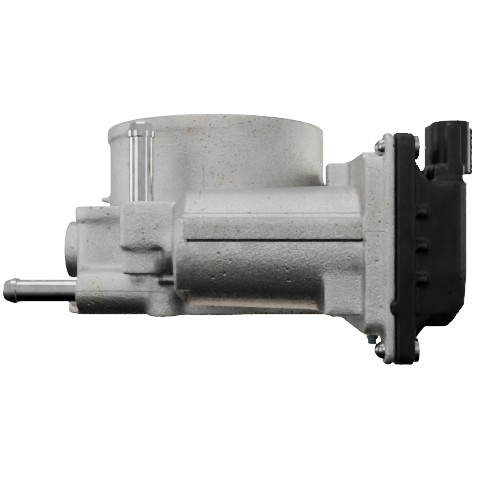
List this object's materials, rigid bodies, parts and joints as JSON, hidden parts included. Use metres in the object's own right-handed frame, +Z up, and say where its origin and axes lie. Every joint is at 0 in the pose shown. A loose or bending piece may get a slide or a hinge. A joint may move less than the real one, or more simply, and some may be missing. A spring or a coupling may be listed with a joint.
{
  "type": "electronic throttle body",
  "caption": "Cast throttle body with a round bore, turning plate, motor and gear drive under a black cover with connector, bolt flange and coolant nipples.",
  "frame": {"origin": "centre of the bore on the manifold face", "axes": "+Z up the bore to the air-hose end, +X along the throttle shaft to the gear cover, +Y away from the motor"},
  "size_m": [0.1535, 0.1281, 0.0814],
  "materials": {
    "cast_body": "matt die-cast",
    "seal_rubber": "matt",
    "plate_metal": "satin",
    "shaft_steel": "ground",
    "screw_steel": "zinc plated",
    "bearing_steel": "polished",
    "cap_steel": "satin",
    "cage_brass": "satin",
    "lever_steel": "satin",
    "spring_steel": "oiled",
    "gear_plastic": "satin",
    "magnet_ferrite": "matt",
    "pinion_brass": "satin",
    "core_steel": "laminated",
    "copper_wire": "enamelled",
    "can_steel": "zinc plated",
    "bush_bronze": "sintered",
    "holder_plastic": "matt",
    "brush_carbon": "matt",
    "contact_brass": "bright",
    "cover_plastic": "fine-grained",
    "rivet_steel": "bright",
    "board_laminate": "satin",
    "chip_plastic": "matt",
    "pipe_steel": "zinc plated",
    "breather_plastic": "gloss"
  },
  "bodies": {
    "housing": {"throttle_housing": "cast_body", "flange_seal": "seal_rubber", "needle_bearing": "bearing_steel", "shaft_seals": "seal_rubber", "shaft_end_cap": "cap_steel", "bearing_outer_ring": "bearing_steel", "return_spring": "spring_steel", "idler_pin": "shaft_steel", "motor_can": "can_steel", "motor_magnets": "magnet_ferrite", "motor_bushes": "bush_bronze", "brush_holder": "holder_plastic", "brushes": "brush_carbon", "motor_end_plate": "can_steel", "motor_screws": "screw_steel", "motor_terminals": "contact_brass", "terminal_sockets": "contact_brass", "gear_cover": "cover_plastic", "cover_seal": "seal_rubber", "cover_rivets": "rivet_steel", "connector_pins": "contact_brass", "sensor_board": "board_laminate", "sensor_chip": "chip_plastic", "coolant_pipe_top": "pipe_steel", "coolant_pipe_side": "pipe_steel", "coolant_plug": "cap_steel", "case_breather": "breather_plastic"},
    "throttle": {"throttle_shaft": "shaft_steel", "throttle_plate": "plate_metal", "plate_screws": "screw_steel", "bearing_inner_ring": "bearing_steel", "spring_lever": "lever_steel", "sector_gear": "gear_plastic", "position_magnet": "magnet_ferrite"},
    "idler": {"idler_gear": "gear_plastic"},
    "rotor": {"motor_shaft": "shaft_steel", "motor_armature": "core_steel", "motor_windings": "copper_wire", "commutator": "copper_wire", "motor_pinion": "pinion_brass"},
    "ball_set": {"bearing_balls": "bearing_steel", "bearing_cage": "cage_brass"},
    "needle_set": {"needle_rollers": "bearing_steel"}
  },
  "joints": [
    {"name": "throttle_turn", "type": "hinge", "parent": "housing", "child": "throttle", "pos_m": [0, 0, 0.022], "axis": [1, 0, 0], "range_deg": [-6, 78], "stiffness_Nm_per_rad": 0.12, "deforming": ["return_spring"]},
    {"name": "idler_turn", "type": "hinge", "parent": "housing", "child": "idler", "pos_m": [0.06, -0.03006, 0.02716], "axis": [1, 0, 0], "range_deg": [-320, 26]},
    {"name": "rotor_turn", "type": "hinge", "parent": "housing", "child": "rotor", "pos_m": [0.025, -0.057, 0.0234], "axis": [1, 0, 0], "range_deg": [-116, 1488]},
    {"name": "ball_set_turn", "type": "hinge", "parent": "housing", "child": "ball_set", "pos_m": [0.0475, 0, 0.022], "axis": [1, 0, 0], "range_deg": [-4, 31]},
    {"name": "needle_set_turn", "type": "hinge", "parent": "housing", "child": "needle_set", "pos_m": [-0.0515, 0, 0.022], "axis": [1, 0, 0], "range_deg": [-4, 35]}
  ],
  "couplings": [
    {"joint": "idler_turn", "follows": "throttle_turn", "ratio": -4.0833},
    {"joint": "rotor_turn", "follows": "throttle_turn", "ratio": 19.056},
    {"joint": "ball_set_turn", "follows": "throttle_turn", "ratio": 0.38125},
    {"joint": "needle_set_turn", "follows": "throttle_turn", "ratio": 0.42462}
  ]
}
